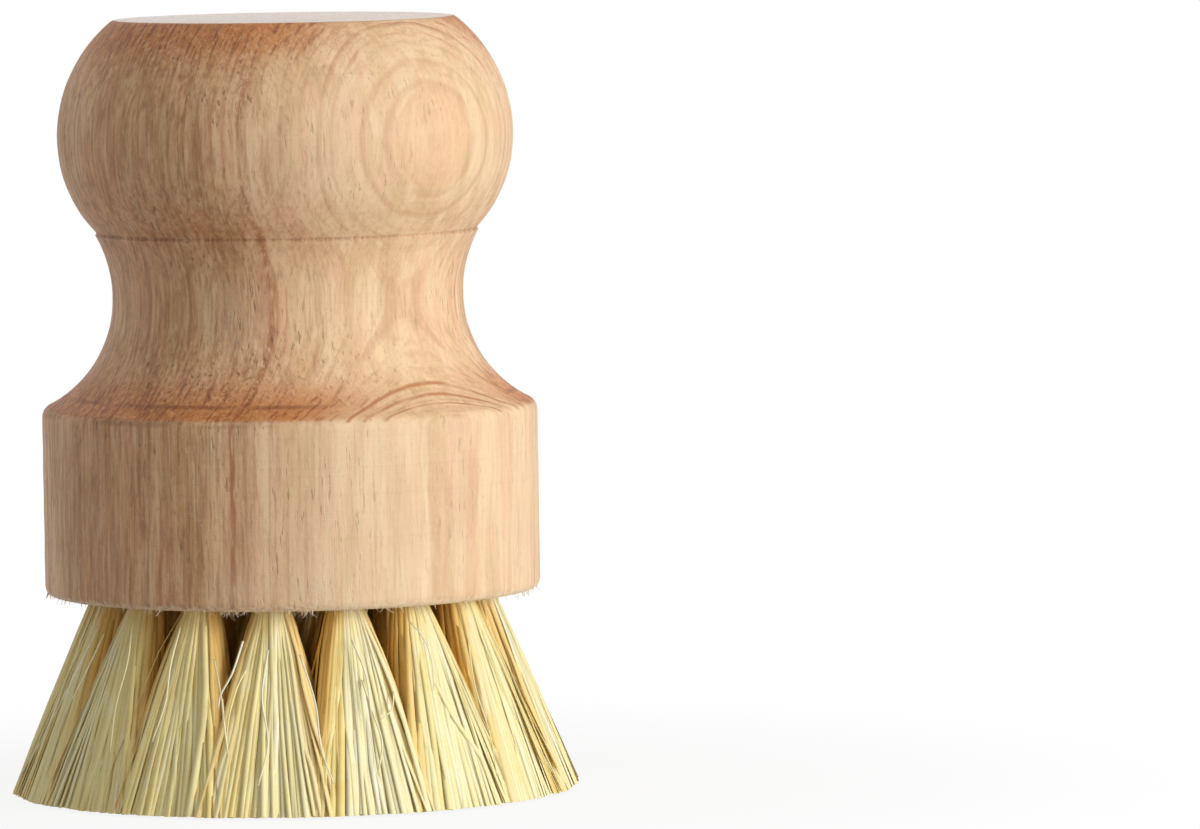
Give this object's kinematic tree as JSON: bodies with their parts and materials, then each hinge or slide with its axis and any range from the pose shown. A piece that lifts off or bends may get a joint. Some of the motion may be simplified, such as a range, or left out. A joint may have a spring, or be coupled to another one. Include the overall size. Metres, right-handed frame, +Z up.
{
  "type": "scrub brush",
  "caption": "Round palm scrub brush: a turned wooden handle with a knob, waist and drilled block, and flared plant fibre tufts held in the block by flat wire anchors.",
  "frame": {"origin": "on the brush's axis, on the plane of the trimmed bristle tips, which is the bottom of the part", "axes": "+Z up along the brush's axis, from the bristle tips to the flat top of the knob; -Y is the front"},
  "size_m": [0.0604, 0.0604, 0.085],
  "materials": {
    "turned_wood": "bare turned wood, fine sanded",
    "plant_fibre": "natural, slightly waxy plant fibre",
    "anchor_wire": "drawn flat wire"
  },
  "bodies": {
    "root": {"wooden_handle": "turned_wood", "tuft_outer_01": "plant_fibre", "tuft_outer_02": "plant_fibre", "tuft_outer_03": "plant_fibre", "tuft_outer_04": "plant_fibre", "tuft_outer_05": "plant_fibre", "tuft_outer_06": "plant_fibre", "tuft_outer_07": "plant_fibre", "tuft_outer_08": "plant_fibre", "tuft_outer_09": "plant_fibre", "tuft_outer_10": "plant_fibre", "tuft_outer_11": "plant_fibre", "tuft_outer_12": "plant_fibre", "tuft_outer_13": "plant_fibre", "tuft_outer_14": "plant_fibre", "tuft_outer_15": "plant_fibre", "tuft_outer_16": "plant_fibre", "tuft_middle_01": "plant_fibre", "tuft_middle_02": "plant_fibre", "tuft_middle_03": "plant_fibre", "tuft_middle_04": "plant_fibre", "tuft_middle_05": "plant_fibre", "tuft_middle_06": "plant_fibre", "tuft_middle_07": "plant_fibre", "tuft_middle_08": "plant_fibre", "tuft_middle_09": "plant_fibre", "tuft_middle_10": "plant_fibre", "tuft_inner_1": "plant_fibre", "tuft_inner_2": "plant_fibre", "tuft_inner_3": "plant_fibre", "anchor_outer_01": "anchor_wire", "anchor_outer_02": "anchor_wire", "anchor_outer_03": "anchor_wire", "anchor_outer_04": "anchor_wire", "anchor_outer_05": "anchor_wire", "anchor_outer_06": "anchor_wire", "anchor_outer_07": "anchor_wire", "anchor_outer_08": "anchor_wire", "anchor_outer_09": "anchor_wire", "anchor_outer_10": "anchor_wire", "anchor_outer_11": "anchor_wire", "anchor_outer_12": "anchor_wire", "anchor_outer_13": "anchor_wire", "anchor_outer_14": "anchor_wire", "anchor_outer_15": "anchor_wire", "anchor_outer_16": "anchor_wire", "anchor_middle_01": "anchor_wire", "anchor_middle_02": "anchor_wire", "anchor_middle_03": "anchor_wire", "anchor_middle_04": "anchor_wire", "anchor_middle_05": "anchor_wire", "anchor_middle_06": "anchor_wire", "anchor_middle_07": "anchor_wire", "anchor_middle_08": "anchor_wire", "anchor_middle_09": "anchor_wire", "anchor_middle_10": "anchor_wire", "anchor_inner_1": "anchor_wire", "anchor_inner_2": "anchor_wire", "anchor_inner_3": "anchor_wire"}
  },
  "joints": []
}
